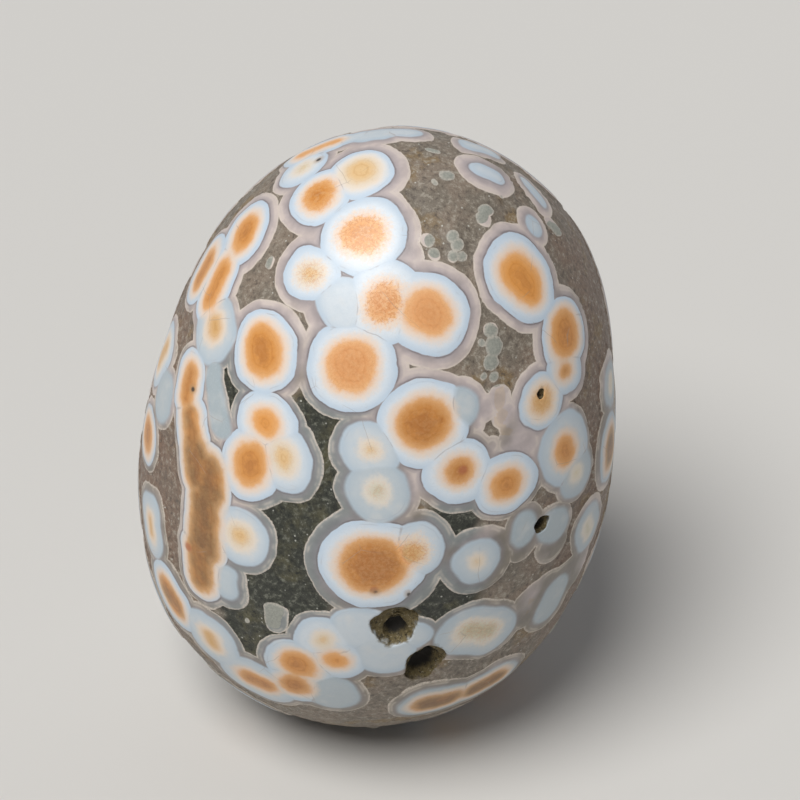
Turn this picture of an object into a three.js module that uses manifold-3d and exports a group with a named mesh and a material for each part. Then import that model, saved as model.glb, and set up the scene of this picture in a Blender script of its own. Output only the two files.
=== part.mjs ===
// An egg-shaped eye agate: one water-worn, polished pebble that stands on a small flat spot ground at its foot.
// Its body is an egg with broad swells and worn flats. Open pits, where soft growths have weathered out, are
// sunk into its best face, and shallow dimples into its sides and back.
// Millimetres, +Z up, +X to the right and -Y towards the person who looks at the best face.
// The origin is on the flat foot, under the middle of the stone's box.

import * as THREE from "three";
import { mergeVertices } from "three/addons/utils/BufferGeometryUtils.js";
import Module from "manifold-3d";

// Driving dimensions of the body
const HALF_WIDTH = 23.0;
const HALF_DEPTH = 22.2;
const CROWN = 32.9; // from the belly up to the top
const BASE = 30.5; // from the belly down to where the bottom would be without the flat foot
const FOOT_CUT = 1.6; // how much of the bottom the flat foot takes away
const LEAN = 0.06; // sideways per height
const TAPER = 0.001; // share of the width lost per millimetre of height

// Broad swells, which rise above 0, and worn flats, which rise below 0. Reach is in radians seen from the belly.
const SWELLS = [
  { name: "right shoulder swell", toward: [0.64, 0.47, 0.6], reach: 0.36, rise: 1.4 },
  { name: "right flank flat", toward: [0.98, 0.13, 0.16], reach: 0.36, rise: -0.8 },
  { name: "low right swell", toward: [0.5, -0.53, -0.68], reach: 0.38, rise: 0.65 },
  { name: "low right flat", toward: [0.93, -0.23, -0.3], reach: 0.36, rise: -0.25 },
  { name: "low left swell", toward: [-0.71, -0.44, -0.56], reach: 0.42, rise: 1.2 },
  { name: "low front swell", toward: [-0.09, -0.61, -0.79], reach: 0.4, rise: 0.7 },
  { name: "left shoulder swell", toward: [-0.64, 0.47, 0.6], reach: 0.38, rise: 0.2 },
  { name: "left flank flat", toward: [-0.87, 0.31, 0.39], reach: 0.38, rise: -1.1 },
  { name: "crown flat", toward: [0, 0.62, 0.79], reach: 0.4, rise: -1.0 },
  { name: "back flat", toward: [0.2, 0.95, -0.1], reach: 0.5, rise: -0.8 },
  { name: "front left flat", toward: [-0.45, -0.85, 0.3], reach: 0.45, rise: -0.4 },
];

// Open pits: where they lie, how wide they are across and up, how deep they go, and how far they are turned
const PITS = [
  { name: "large pit", toward: [0.076, -0.976, -0.204], across: 3.9, up: 4.7, depth: 1.6, turn: 0.15 },
  { name: "low pit", toward: [0.202, -0.879, -0.432], across: 3.4, up: 4.8, depth: 1.6, turn: -0.2 },
  { name: "slit pit", toward: [0.647, -0.749, 0.146], across: 1.6, up: 1.6, depth: 0.9, turn: 0 },
  { name: "core pit", toward: [0.543, -0.555, 0.63], across: 1.0, up: 1.0, depth: 0.7, turn: 0 },
  { name: "left side dimple", toward: [-0.93, 0.32, -0.2], across: 2.6, up: 2.0, depth: 0.7, turn: 0.4 },
  { name: "back dimple", toward: [0.25, 0.93, 0.28], across: 3.2, up: 2.4, depth: 0.8, turn: -0.5 },
  { name: "right side dimple", toward: [0.86, 0.42, -0.3], across: 2.0, up: 2.4, depth: 0.6, turn: 0.2 },
];

// Waves that lead a pit's wall away from a plain bowl: their number around it, their slant, their share of its size
const PIT_WAVES = [
  { around: 2, slant: 3, share: 0.11 },
  { around: 3, slant: -2, share: 0.09 },
  { around: 5, slant: 5, share: 0.05 },
];

const BODY_DETAIL = 16; // splits along each edge of the twenty-sided solid that the body is spread over
const PIT_DETAIL = 4; // the same for a pit

const STONE_COLOR = new THREE.Color().setRGB(0.62, 0.55, 0.47, THREE.SRGBColorSpace);
const STONE_ROUGHNESS = 0.28;

const belly = new THREE.Vector3(0, 0, BASE - FOOT_CUT);

const manifold = await Module();
manifold.setup();

function unit(toward) {
  return new THREE.Vector3(...toward).normalize();
}

// The body's surface in a direction from the belly, measured from the belly
function surfacePoint(direction) {
  const height = THREE.MathUtils.lerp(BASE, CROWN, (1 + direction.z) / 2);
  const shrink = Math.hypot(direction.x / HALF_WIDTH, direction.y / HALF_DEPTH, direction.z / height);
  const point = direction.clone().divideScalar(shrink);
  const narrowing = 1 - TAPER * point.z;
  point.x = point.x * narrowing + LEAN * point.z;
  point.y *= narrowing;
  for (const swell of SWELLS) {
    const offAxis = 1 - direction.dot(unit(swell.toward));
    point.addScaledVector(direction, swell.rise * Math.exp((-2 * offAxis) / swell.reach ** 2));
  }
  return point;
}

// A ball of small triangles with every corner moved by a rule
function shapedBall(detail, move) {
  const ball = new THREE.IcosahedronGeometry(1, detail);
  const corners = ball.getAttribute("position");
  for (let i = 0; i < corners.count; i += 1) {
    const corner = new THREE.Vector3().fromBufferAttribute(corners, i).normalize();
    corners.setXYZ(i, ...move(corner).toArray());
  }
  return ball;
}

// The closed solid that a geometry's triangles bound
function solid(geometry) {
  geometry.deleteAttribute("normal");
  geometry.deleteAttribute("uv");
  const merged = mergeVertices(geometry, 1e-4);
  const mesh = new manifold.Mesh({
    numProp: 3,
    vertProperties: new Float32Array(merged.getAttribute("position").array),
    triVerts: new Uint32Array(merged.getIndex().array),
  });
  return new manifold.Manifold(mesh);
}

function bodySolid() {
  return solid(shapedBall(BODY_DETAIL, (direction) => surfacePoint(direction).add(belly)));
}

// All that lies below the floor, which grinds the flat foot
function groundSolid() {
  const side = 4 * HALF_WIDTH;
  const ground = new THREE.BoxGeometry(side, side, side);
  ground.translate(0, 0, -side / 2);
  return solid(ground);
}

// A lumpy bowl that is centred on the surface, so its lower half is cut away
function pitSolid(pit) {
  const outward = unit(pit.toward);
  const bowl = shapedBall(PIT_DETAIL, (corner) => {
    const angle = Math.atan2(corner.y, corner.x);
    const level = Math.sqrt(Math.max(0, 1 - corner.z ** 2));
    let size = 1;
    for (const wave of PIT_WAVES) {
      size += level * wave.share * Math.sin(wave.around * angle + wave.slant * corner.z);
    }
    const radii = new THREE.Vector3(pit.across / 2, pit.up / 2, pit.depth);
    return corner.clone().multiply(radii).multiplyScalar(size);
  });
  const sideways = new THREE.Vector3(-outward.y, outward.x, 0).normalize();
  const upward = new THREE.Vector3().crossVectors(outward, sideways);
  const place = new THREE.Matrix4().makeBasis(sideways, upward, outward);
  place.multiply(new THREE.Matrix4().makeRotationZ(pit.turn));
  place.setPosition(surfacePoint(outward).add(belly));
  bowl.applyMatrix4(place);
  return solid(bowl);
}

function stoneGeometry() {
  let stone = bodySolid().subtract(groundSolid());
  for (const pit of PITS) {
    stone = stone.subtract(pitSolid(pit));
  }
  const mesh = stone.getMesh();
  const geometry = new THREE.BufferGeometry();
  geometry.setAttribute("position", new THREE.BufferAttribute(new Float32Array(mesh.vertProperties), 3));
  geometry.setIndex(new THREE.BufferAttribute(new Uint32Array(mesh.triVerts), 1));
  geometry.computeBoundingBox();
  const middle = geometry.boundingBox.getCenter(new THREE.Vector3());
  geometry.translate(-middle.x, -middle.y, 0);
  geometry.computeVertexNormals();
  return geometry;
}

function stoneMaterial() {
  return new THREE.MeshStandardMaterial({ color: STONE_COLOR, roughness: STONE_ROUGHNESS, metalness: 0 });
}

function stoneMesh() {
  const mesh = new THREE.Mesh(stoneGeometry(), stoneMaterial());
  mesh.name = "stone";
  return mesh;
}

const group = new THREE.Group();
group.name = "eye_agate";
group.add(stoneMesh());

export default group;
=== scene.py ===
"""The looks of an eye agate pebble: its body, open pits, ringed eyes, worn relief, finish and stage."""

import math
from collections import namedtuple

import bmesh
import bpy
import numpy as np
from bpy.props import FloatProperty, FloatVectorProperty, IntProperty, PointerProperty
from mathutils import Matrix, Vector, noise
from mathutils.bvhtree import BVHTree


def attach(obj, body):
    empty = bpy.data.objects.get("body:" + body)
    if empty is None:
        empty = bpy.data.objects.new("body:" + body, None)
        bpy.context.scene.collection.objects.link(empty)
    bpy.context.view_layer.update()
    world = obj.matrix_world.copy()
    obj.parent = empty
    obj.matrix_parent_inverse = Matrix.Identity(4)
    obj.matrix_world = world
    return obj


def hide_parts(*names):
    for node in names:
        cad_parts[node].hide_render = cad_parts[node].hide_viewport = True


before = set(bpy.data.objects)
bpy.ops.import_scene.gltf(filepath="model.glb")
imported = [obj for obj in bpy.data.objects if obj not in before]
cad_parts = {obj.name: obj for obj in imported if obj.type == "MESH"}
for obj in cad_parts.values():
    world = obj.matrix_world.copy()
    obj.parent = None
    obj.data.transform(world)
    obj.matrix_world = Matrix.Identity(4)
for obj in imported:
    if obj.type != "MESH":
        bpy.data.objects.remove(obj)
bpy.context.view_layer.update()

bl_info = {
    "name": "Eye agate pebble",
    "version": (1, 0, 0),
    "blender": (4, 5, 0),
    "location": "3D View > Sidebar > Agate",
    "description": "Builds an egg-shaped eye agate with ringed eyes, open pits and a worn, polished surface",
    "category": "Add Mesh",
}

MM = 0.001
NODE = "stone"
PIECE = "agate_pebble"
FINISH = "polished_agate"

# How the photograph was taken
PHOTO_SIDE = 800  # pixels on each side of its frame
CAMERA_RISE = math.radians(38)  # above the horizon
CAMERA_DISTANCE = 300 * MM
PIXEL = 0.0955 * MM  # width of one pixel where the camera looks
LOOK_RIGHT = 1.95 * MM  # from the belly to where the camera looks
LOOK_UP = 3.5 * MM
SENSOR = 36.0  # millimetres
NEAR_CLIP = 0.01  # metres
FAR_CLIP = 20.0

# Soft light: where it comes from, how strong it is, how wide its source looks, and its colour
KEY_TOWARD = (-0.29, -0.34, 0.89)
KEY_STRENGTH = 2.95
KEY_SOFTNESS = math.radians(34)
KEY_COLOUR = (1.0, 0.985, 0.96)
RIM_TOWARD = (0.25, 0.75, 0.60)
RIM_STRENGTH = 0.27
RIM_SOFTNESS = math.radians(60)
RIM_COLOUR = (0.96, 0.98, 1.0)
SKY_STRENGTH = 0.15
SKY_COLOUR = (0.93, 0.95, 1.0)

FLOOR_RADIUS = 6.0  # metres
FLOOR_SIDES = 96
FLOOR_ROUGHNESS = 0.7

# Broad swells, which rise above 0, and worn flats, which rise below 0
Swell = namedtuple("Swell", "toward reach rise")
SWELLS = (
    Swell((0.64, 0.47, 0.60), 0.36, 1.40 * MM),
    Swell((0.98, 0.13, 0.16), 0.36, -0.80 * MM),
    Swell((0.50, -0.53, -0.68), 0.38, 0.65 * MM),
    Swell((0.93, -0.23, -0.30), 0.36, -0.25 * MM),
    Swell((-0.71, -0.44, -0.56), 0.42, 1.20 * MM),
    Swell((-0.09, -0.61, -0.79), 0.40, 0.70 * MM),
    Swell((-0.64, 0.47, 0.60), 0.38, 0.20 * MM),
    Swell((-0.87, 0.31, 0.39), 0.38, -1.10 * MM),
    Swell((0.00, 0.62, 0.79), 0.40, -1.00 * MM),
    Swell((0.20, 0.95, -0.10), 0.50, -0.80 * MM),
    Swell((-0.45, -0.85, 0.30), 0.45, -0.40 * MM),
)

# Open pits: where they face, width across and up, depth, turn about their own axis, the share of their size
# that the deep hole takes, and how far the hole lies below their middle, as a share of their half height
Pit = namedtuple("Pit", "toward across up depth turn hole low")
PITS = (
    Pit((0.064, -0.977, -0.203), 4.1 * MM, 4.5 * MM, 1.7 * MM, 0.15, 0.48, 0.42),
    Pit((0.178, -0.885, -0.431), 3.3 * MM, 5.0 * MM, 1.6 * MM, -0.2, 0.72, 0.32),
    Pit((0.652, -0.744, 0.146), 1.6 * MM, 1.6 * MM, 0.9 * MM, 0.0, 0.75, 0.0),
    Pit((0.566, -0.540, 0.623), 0.8 * MM, 0.8 * MM, 0.5 * MM, 0.0, 0.30, 0.0),
    Pit((-0.928, 0.315, -0.196), 2.6 * MM, 2.0 * MM, 0.7 * MM, 0.4, 0.5, 0.0),
    Pit((0.265, 0.923, 0.280), 3.2 * MM, 2.4 * MM, 0.8 * MM, -0.5, 0.6, 0.0),
    Pit((0.853, 0.426, -0.302), 2.0 * MM, 2.4 * MM, 0.6 * MM, 0.2, 0.5, 0.0),
)
PIT_WAVES = ((2, 0.06), (3, 0.06), (5, 0.04))  # waves around a pit's rim and their share of its size
PIT_RAGGED = 0.08  # how far a fine noise leads the rim in and out, as a share of the pit's size
PIT_RAGGED_WAVES = 900.0  # waves of that noise to a metre
PIT_SHOULDER = 0.4  # share of the depth that the shallow basin around the hole has
PIT_CUTS = 3  # extra cuts along each edge near a pit
PIT_FINE = 1.4  # how far the finer mesh around a pit goes, as a share of its size
PIT_FAR = 2 * PIT_FINE  # the reach that points far from a pit are given
HOLE_STEEP = 1.3  # how steeply the deep hole falls from its edge
RIM_STEEP = 3  # how steeply the hole fades out at the pit's rim

# How orange or brown a core is, from 0 for bluish white to 1 for dark brown
TINTS = {
    "clear": 0.0,
    "sand": 0.12,
    "cream": 0.2,
    "honey": 0.35,
    "tan": 0.5,
    "peach": 0.6,
    "orange": 0.68,
    "deep": 0.76,
    "amber": 0.84,
    "umber": 0.92,
    "brown": 1.0,
}

# An eye on the face that the photograph shows. Its place is a pixel of the photograph, its radii are in
# millimetres, and along is the half length of its middle line in pixels. Grain is how sugary its core is, and
# shade is how grey and glassy its white is.
Eye = namedtuple("Eye", "x y core white halo tint grain shade along", defaults=(0.0, 0.0, (0, 0)))
SEEN_EYES = (
    # top left
    Eye(319, 195, 1.75, 3.1, 4.3, "deep", 0.5),
    Eye(360, 172, 1.75, 3.0, 4.3, "honey", 0.1),
    Eye(303, 166, 0.8, 2.5, 3.4, "cream", 0.3, 0.1),
    Eye(312, 143, 1.3, 2.4, 3.2, "amber"),
    Eye(352, 137, -1.0, 1.5, 2.5, "clear", 0.0, 0.4, (8, -2)),
    Eye(375, 134, -1.0, 1.7, 2.8, "clear", 0.0, 0.5, (8, -1)),
    Eye(399, 132, -1.0, 1.3, 2.3, "clear", 0.0, 0.4, (8, 0)),
    Eye(318, 147, 0.9, 2.1, 2.7, "orange", 0.0, 0.1, (15, -6)),
    Eye(478, 147, -1.0, 1.1, 1.8, "clear", 0.0, 0.4, (11, 4)),
    Eye(364, 235, 2.0, 3.75, 4.9, "orange", 1.0),
    Eye(311, 273, 1.2, 2.7, 3.7, "honey", 0.7),
    Eye(244, 232, 1.9, 3.1, 4.2, "deep", 0.1, 0.0, (-1, 2)),
    Eye(216, 283, 1.4, 2.5, 3.4, "deep", 0.0, 0.0, (-6, 14)),
    Eye(204, 268, 1.4, 2.5, 3.2, "amber", 0.0, 0.1, (-5, 9)),
    Eye(214, 328, 1.2, 3.0, 3.7, "tan", 0.1, 0.6, (0, 3)),
    Eye(263, 352, 2.1, 3.3, 4.3, "deep", 0.1, 0.0, (0, 4)),
    # middle
    Eye(384, 304, 1.7, 3.6, 4.6, "peach", 1.0, 0.0, (0, 3)),
    Eye(428, 313, 2.25, 3.75, 4.9, "peach", 0.25),
    Eye(342, 304, -1.0, 2.45, 3.8, "clear", 0.2, 0.25),
    Eye(350, 366, 2.5, 4.2, 5.1, "peach", 0.35),
    Eye(424, 424, 2.5, 4.1, 5.1, "amber", 0.2),
    Eye(457, 408, -1.0, 2.0, 3.0, "clear", 0.0, 0.8),
    Eye(370, 452, 0.7, 2.7, 3.6, "honey", 0.3, 0.45),
    Eye(377, 492, 0.9, 2.95, 3.9, "sand", 0.3, 0.7),
    Eye(459, 472, 1.6, 3.3, 4.3, "amber", 0.3),
    Eye(507, 483, 1.7, 3.2, 3.9, "deep", 0.1),
    Eye(374, 566, 3.3, 4.9, 6.3, "amber", 0.3),
    Eye(411, 553, 1.5, 3.1, 4.3, "tan", 0.8, 0.3),
    Eye(476, 562, 0.5, 2.4, 3.8, "honey", 0.1, 0.6),
    # right
    Eye(523, 278, 2.05, 3.5, 4.5, "orange", 0.1, 0.0, (5, 5)),
    Eye(565, 333, 2.1, 3.1, 4.2, "deep", 0.0, 0.0, (0, 3)),
    Eye(566, 370, 0.9, 2.3, 3.3, "amber", 0.0, 0.2),
    Eye(544, 400, 1.5, 2.6, 3.6, "tan", 0.3, 0.2),
    Eye(565, 451, 1.4, 3.3, 3.9, "deep", 0.1, 0.5, (1, 3)),
    Eye(576, 474, 0.5, 2.4, 3.0, "cream", 0.0, 0.8),
    Eye(610, 447, 1.9, 3.0, 3.9, "brown", 0.0, 0.5, (0, 4)),
    Eye(611, 384, 0.4, 1.9, 2.9, "cream", 0.0, 0.9, (0, 5)),
    Eye(487, 173, -1.0, 1.1, 2.5, "clear", 0.0, 0.3, (6, 3)),
    Eye(536, 193, -1.0, 0.8, 1.7, "clear", 0.0, 0.4, (8, 9)),
    Eye(534, 227, -1.0, 1.25, 2.2, "clear", 0.0, 0.5),
    Eye(524, 531, -1.0, 1.5, 2.4, "clear", 0.0, 1.0, (0, 3)),
    Eye(554, 527, -1.0, 2.0, 2.6, "clear", 0.0, 1.0),
    Eye(589, 526, 0.5, 2.2, 3.0, "sand", 0.0, 0.8, (1, 3)),
    Eye(553, 600, -1.0, 2.0, 3.1, "clear", 0.0, 1.0, (3, -7)),
    Eye(478, 632, 1.3, 3.2, 4.0, "sand", 0.4, 0.7, (9, 0)),
    # left
    Eye(265, 425, 1.5, 3.1, 3.9, "orange", 0.1),
    Eye(249, 465, 1.9, 3.1, 4.0, "deep", 0.0, 0.0, (0, 4)),
    Eye(283, 459, 1.4, 3.1, 4.1, "honey", 0.2, 0.2),
    Eye(240, 536, 1.3, 3.1, 4.0, "honey", 0.2, 0.4),
    Eye(188, 383, 1.2, 2.2, 2.8, "amber", 0.0, 0.1, (-2, 13)),
    Eye(191, 428, 1.4, 2.4, 3.0, "umber", 0.0, 0.1, (1, 14)),
    Eye(196, 466, 1.9, 2.5, 3.1, "brown", 0.1, 0.1, (1, 10)),
    Eye(209, 480, 2.1, 2.8, 3.5, "brown", 0.1, 0.1, (1, 8)),
    Eye(204, 524, 2.0, 2.7, 3.4, "brown", 0.1, 0.1, (-1, 20)),
    Eye(200, 566, 1.8, 2.5, 3.2, "umber", 0.0, 0.1, (1, 12)),
    Eye(227, 583, -1.0, 1.3, 2.3, "clear", 0.0, 0.7, (0, 7)),
    Eye(216, 400, -1.0, 1.25, 1.6, "cream", 0.3, 1.1, (3, 26)),
    Eye(147, 433, 1.9, 2.8, 3.5, "amber", 0.0, 0.3),
    Eye(163, 397, -1.0, 2.1, 2.7, "clear", 0.0, 0.9, (-1, 6)),
    Eye(163, 354, 1.0, 2.5, 3.3, "tan", 0.0, 0.3, (-3, 7)),
    Eye(151, 524, 0.8, 2.6, 3.5, "tan", 0.0, 0.6, (1, 8)),
    Eye(171, 597, 1.8, 3.1, 3.9, "umber", 0.0, 0.2, (4, 7)),
    Eye(211, 639, 1.0, 3.0, 3.8, "tan", 0.0, 0.5, (1, 4)),
    # bottom
    Eye(336, 660, 1.3, 2.9, 3.8, "orange", 0.1, 0.2),
    Eye(324, 641, 0.9, 3.0, 3.8, "honey", 0.1, 0.2),
    Eye(299, 666, 2.0, 3.5, 4.3, "deep", 0.1, 0.3),
    Eye(294, 685, 1.7, 3.1, 4.0, "amber", 0.0, 0.3),
    Eye(256, 680, 1.5, 3.4, 4.3, "amber", 0.2, 0.5, (8, 4)),
    Eye(330, 694, -1.0, 3.0, 3.9, "clear", 0.0, 0.9),
    Eye(360, 631, -1.0, 2.9, 3.4, "clear", 0.0, 0.4),
    Eye(386, 653, -1.0, 3.1, 3.8, "clear", 0.0, 0.5),
    Eye(416, 637, -1.0, 1.7, 2.4, "clear", 0.0, 0.5),
    # Partly their own grey and partly painted shade: the two lowest whites are set grey and glassy, which
    # darkens them
    Eye(485, 684, 1.7, 2.7, 3.7, "brown", 0.0, 0.9, (9, -5)),
    Eye(438, 701, 1.8, 2.9, 3.9, "brown", 0.0, 1.0, (9, -2)),
)

# Buds without a core or a white: place in pixels, radius in millimetres, half length in pixels, and whether
# they are beige and clear as a halo is, and not grey
Bud = namedtuple("Bud", "x y radius along beige", defaults=((0, 0), False))
SEEN_BUDS = (
    Bud(433, 150, 0.5, (4, 1)),
    Bud(446, 174, 0.6, (3, 0)),
    Bud(433, 181, 0.5),
    Bud(488, 212, 0.8),
    Bud(485, 221, 0.8),
    Bud(454, 234, 0.6),
    Bud(459, 243, 0.6),
    Bud(455, 254, 0.6),
    Bud(464, 255, 0.5),
    Bud(427, 237, 0.7),
    Bud(434, 251, 0.6),
    Bud(407, 252, 1.5),
    Bud(492, 330, 0.7),
    Bud(494, 346, 0.9),
    Bud(491, 361, 0.8),
    Bud(482, 343, 0.4),
    Bud(484, 375, 0.4),
    Bud(495, 376, 0.5),
    Bud(500, 398, 1.3, (0, 0), True),
    Bud(508, 412, 1.5, (0, 0), True),
    Bud(485, 407, 1.4, (0, 0), True),
    Bud(477, 424, 0.9, (0, 0), True),
    Bud(519, 427, 1.2, (5, 0), True),
    Bud(494, 444, 1.0, (0, 0), True),
    Bud(524, 547, 1.7, (0, 0), True),
    Bud(553, 545, 2.1, (0, 0), True),
    Bud(521, 441, 1.5, (8, 0), True),
    Bud(562, 583, 2.8, (14, -14), True),
    Bud(541, 596, 2.5, (7, -5), True),
    Bud(530, 612, 1.8, (5, -5), True),
    Bud(270, 262, 0.6),
    Bud(273, 618, 1.15, (0, 6)),
    Bud(246, 622, 0.3),
    Bud(556, 226, 0.6, (4, 5)),
    Bud(500, 196, 0.4),
)

# Dark specks in the whites and cores, in pixels
Speck = namedtuple("Speck", "x y")
SEEN_SPECKS = (
    Speck(319, 158),
    Speck(374, 593),
    Speck(409, 598),
    Speck(192, 385),
)
HIDDEN_SPECKS = 24  # the last growths on the unseen sides, which carry a speck

# Where the ground between the eyes is green-black, in pixels, with a reach in millimetres
Mark = namedtuple("Mark", "x y reach")
DARK_GROUND = (
    Mark(318, 425, 3.0),
    Mark(318, 480, 4.5),
    Mark(300, 530, 4.5),
    Mark(275, 575, 4.5),
    Mark(290, 610, 4.5),
    Mark(232, 385, 3.0),
    Mark(455, 522, 2.5),
    Mark(440, 600, 4.0),
    Mark(255, 608, 5.0),
    Mark(245, 632, 3.0),
    Mark(352, 395, 2.0),
)

# Rust-red stains, in pixels, with a reach in millimetres
RED_STAINS = (
    Mark(188, 547, 0.5),
    Mark(463, 470, 0.5),
    Mark(374, 590, 0.4),
)
MARK_FADE = 1.5  # how far from its middle a mark has faded out, as a share of its reach

# Growths on the sides that the photograph doesn't show
HIDDEN_SEED = 27
HIDDEN_WHITES = (4.3, 3.9, 3.5, 3.1, 2.7, 2.3, 1.9)  # radii tried in turn, in millimetres
HIDDEN_TRIES = 700  # tries for each radius
HIDDEN_TINTS = ("orange", "orange", "orange", "amber", "amber", "brown", "tan", "honey", "cream", "clear")
HIDDEN_SIZE = (0.92, 1.08)  # least and most of a white's radius, as a share of the radius tried
HIDDEN_CORE = (0.3, 0.66)  # the same for a core, as a share of its white
HIDDEN_HALO = (0.8, 1.25)  # width of a halo around its white, in millimetres
HIDDEN_ALONG = (0, 0.5)  # half length of its middle line, in millimetres, times a draw of about 1
HIDDEN_SHADE = 0.6  # greyest and glassiest
HIDDEN_BUD_TRIES = 500
HIDDEN_BUD = (0.4, 1.0)  # least and most of a bud's radius, in millimetres
HIDDEN_BUD_CLEAR = 0.5  # share of its radius that a bud keeps from the halos
HIDDEN_OVERLAP = 0.80  # least distance between two middles, as a share of their summed radii
HIDDEN_GROUND_WAVES = 55.0  # waves to a metre of the noise that leaves ground bare
HIDDEN_GROUND = -0.22  # below this value of that noise the ground is left bare
HIDDEN_TURN = 36.0  # a growth is hidden where the surface faces away by more than its radius over this

# Green-black patches on the unseen sides, in millimetres
UNSEEN_DEPTH = 6.0  # behind what the camera looks at, over which the patches fade in
UNSEEN_START = 0.5  # share of that depth where they start
PATCH_WAVES = 0.045  # waves of their noise to a millimetre
PATCH_SHIFT = (7.0, 3.0, 1.0)
PATCH_STEEP = 5  # how sharp their edges are
PATCH_LEAST = 0.6  # how much of that noise's height stays brown

NEAREST = 4  # growths that each facet knows
ROWS_AT_ONCE = 4000  # points whose distances are worked out together
LEAST_SQUARE = 1e-6  # stands for the length of a middle line that is a point, so that nothing divides by 0
LEAST_SQUARE_SHOWN = 1e-4  # the same in the finish

# How growths join: the millimetres over which cores, and halos, flow together, and how fast the tint and the
# shade of one give way to those of the next
CORE_JOIN = 0.7
HALO_JOIN = 0.12
TINT_PASSAGE = 0.7
SHADE_PASSAGE = 2.0
NO_NEXT_WHITE = 9.0  # millimetres to the next white before one is met

# Noise: waves to a millimetre, detail and roughness
Waves = namedtuple("Waves", "scale detail rough", defaults=(2.0, 0.5))
WARPS = ((Waves(0.16, 1.0), 1.5), (Waves(0.7, 1.0), 0.30), (Waves(3.5, 1.0), 0.06))  # with their push
PITTED_GRAIN = Waves(1.7, 3.0, 0.6)
BROAD_WEAR = Waves(0.16, 1.0)
BROAD_WEAR_DEPTH = 0.10 * MM
BROAD_WEAR_LEVEL = 0.62  # value of its noise where nothing is worn
CRUST = Waves(1.4, 3.0, 0.65)
CRUST_DEPTH = 0.55 * MM
FOOT_FADE = 1.5  # millimetres above the floor where the wear has its full depth

# Sockets of a Mix node by number, because several of them share a name
MIX_SHARE = 0
MIX_VECTORS = (4, 5)
MIX_VECTOR_RESULT = 1
MIX_COLOURS = (6, 7)
MIX_COLOUR_RESULT = 2


def unit(toward):
    """A direction with a length of 1"""
    return Vector(toward).normalized()


def length(name, description, millimetres):
    """A length that the user may change"""
    return FloatProperty(name=name, description=description, default=millimetres * MM, unit="LENGTH")


def paint(name, description, default):
    """A colour that the user may change"""
    return FloatVectorProperty(name=name, description=description, default=default, subtype="COLOR")


class AgateSizes(bpy.types.PropertyGroup):
    """Sizes of the pebble"""

    half_width: length("Half width", "From the belly to the side", 23.0)
    half_depth: length("Half depth", "From the belly to the front", 22.2)
    crown: length("Crown", "From the belly up to the top", 32.9)
    base: length("Base", "From the belly down to the uncut bottom", 30.5)
    foot_cut: length("Foot cut", "How much of the bottom the flat foot takes away", 1.6)
    foot_round: length("Foot rounding", "How softly the foot's edge is worn", 0.25)
    lean: FloatProperty(name="Lean", description="Sideways shift for each length of height", default=0.06)
    taper: FloatProperty(
        name="Taper", description="Share of the width lost for each metre of height", default=1.0
    )
    rows: IntProperty(name="Rows", description="Facets along each side of the six-sided grid", default=112)
    ground_sink: length("Ground sink", "How far the softer ground is worn below the eyes", 0.16)
    halo_sink: length("Halo sink", "How far the halos are worn below the whites", 0.05)
    grain_depth: length("Grain depth", "Depth of the pitted grain in the ground", 0.10)


class AgateColours(bpy.types.PropertyGroup):
    """Colours of the pebble and the stage"""

    ground: paint("Ground", "Brown-grey ground", (0.195, 0.165, 0.130))
    ground_pale: paint("Pale grains", "Pale grains in the ground", (0.40, 0.36, 0.30))
    ground_dark: paint("Dark ground", "Green-black ground", (0.030, 0.033, 0.024))
    ochre: paint("Ochre", "Ochre patches in the ground", (0.25, 0.165, 0.07))
    halo: paint("Halo", "Grey halo around an eye", (0.58, 0.505, 0.485))
    halo_inner: paint("Inner halo", "Mauve halo next to the white", (0.35, 0.32, 0.335))
    rim: paint("Rim", "Cream line around a halo", (0.70, 0.62, 0.54))
    # The dark line is painted shade of the worn groove along a white's outer edge
    line: paint("Dark line", "Thin line outside a white", (0.16, 0.14, 0.15))
    white: paint("White", "Middle of a white ring", (0.74, 0.80, 0.86))
    blue: paint("Blue white", "Outer edge of a white ring", (0.55, 0.665, 0.79))
    glassy: paint("Glassy white", "Grey, glassy white", (0.37, 0.435, 0.465))
    floor: paint("Floor", "Pale studio floor", (0.62, 0.61, 0.59))


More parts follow.
